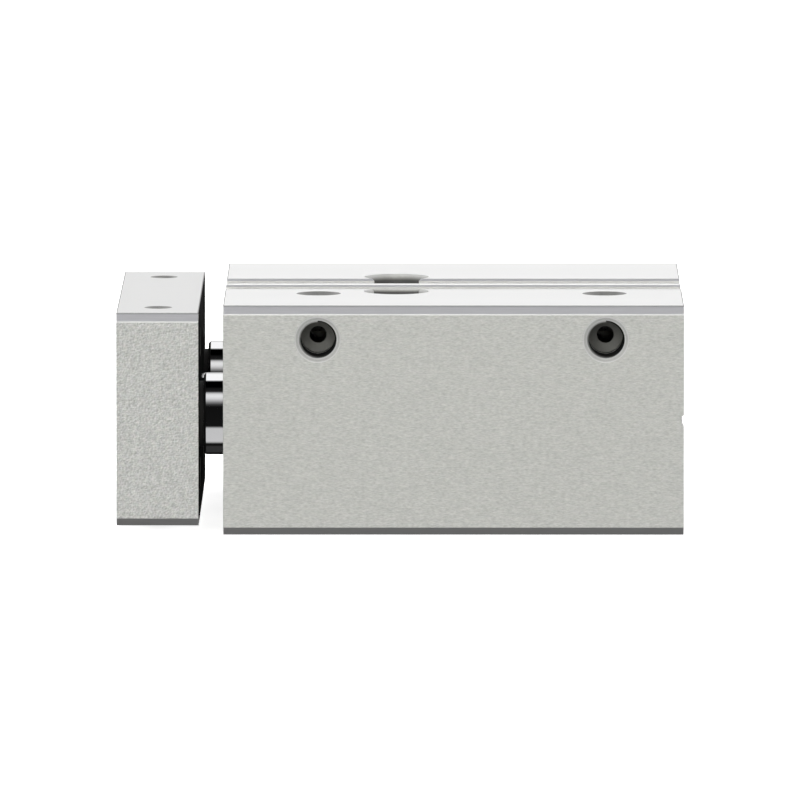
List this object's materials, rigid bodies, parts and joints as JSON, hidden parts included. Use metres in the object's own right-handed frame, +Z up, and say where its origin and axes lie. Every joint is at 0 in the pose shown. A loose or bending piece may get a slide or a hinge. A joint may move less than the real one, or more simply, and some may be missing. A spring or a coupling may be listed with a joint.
{
  "type": "guided pneumatic cylinder",
  "caption": "Compact pneumatic cylinder with twin guide rods: a flat metal housing with sensor slots, and a yoke plate that slides out on the rods.",
  "frame": {"origin": "centre of the housing's base", "axes": "+X from the yoke to the rear face along the stroke, +Y across the housing away from the supply ports, +Z up from the base to the sensor slots"},
  "size_m": [0.069, 0.058, 0.028],
  "materials": {
    "housing_alloy": "anodised, finely ground",
    "yoke_alloy": "anodised, blasted",
    "cap_alloy": "turned",
    "bearing_bronze": "sintered",
    "seal_rubber": "moulded",
    "buffer_rubber": "moulded",
    "spring_steel": "phosphated",
    "plug_steel": "zinc plated",
    "guide_rod_steel": "ground and hard chromed",
    "piston_rod_steel": "ground and hard chromed",
    "screw_steel": "zinc plated",
    "magnet": "pressed"
  },
  "bodies": {
    "housing_body": {"housing": "housing_alloy", "front_cap": "cap_alloy", "front_cap_bush": "bearing_bronze", "front_cap_seal": "seal_rubber", "front_cap_oring": "seal_rubber", "front_retaining_ring": "spring_steel", "rear_cap": "cap_alloy", "rear_cap_oring": "seal_rubber", "rear_retaining_ring": "spring_steel", "front_buffer": "buffer_rubber", "rear_buffer": "buffer_rubber", "front_port_plug": "plug_steel", "rear_port_plug": "plug_steel", "guide_bush_front_left": "bearing_bronze", "guide_bush_front_right": "bearing_bronze", "guide_bush_rear_left": "bearing_bronze", "guide_bush_rear_right": "bearing_bronze", "guide_wiper_left": "seal_rubber", "guide_wiper_right": "seal_rubber"},
    "yoke_body": {"yoke_plate": "yoke_alloy", "guide_rod_left": "guide_rod_steel", "guide_rod_right": "guide_rod_steel", "guide_rod_screws": "screw_steel", "piston_rod": "piston_rod_steel", "piston_rod_screw": "screw_steel", "piston_front_disc": "cap_alloy", "piston_rear_disc": "cap_alloy", "magnet_ring": "magnet", "piston_seal_front": "seal_rubber", "piston_seal_rear": "seal_rubber", "piston_nut": "screw_steel"}
  },
  "joints": [
    {"name": "stroke", "type": "slide", "parent": "housing_body", "child": "yoke_body", "axis": [-1, 0, 0], "range_m": [0, 0.025]}
  ]
}
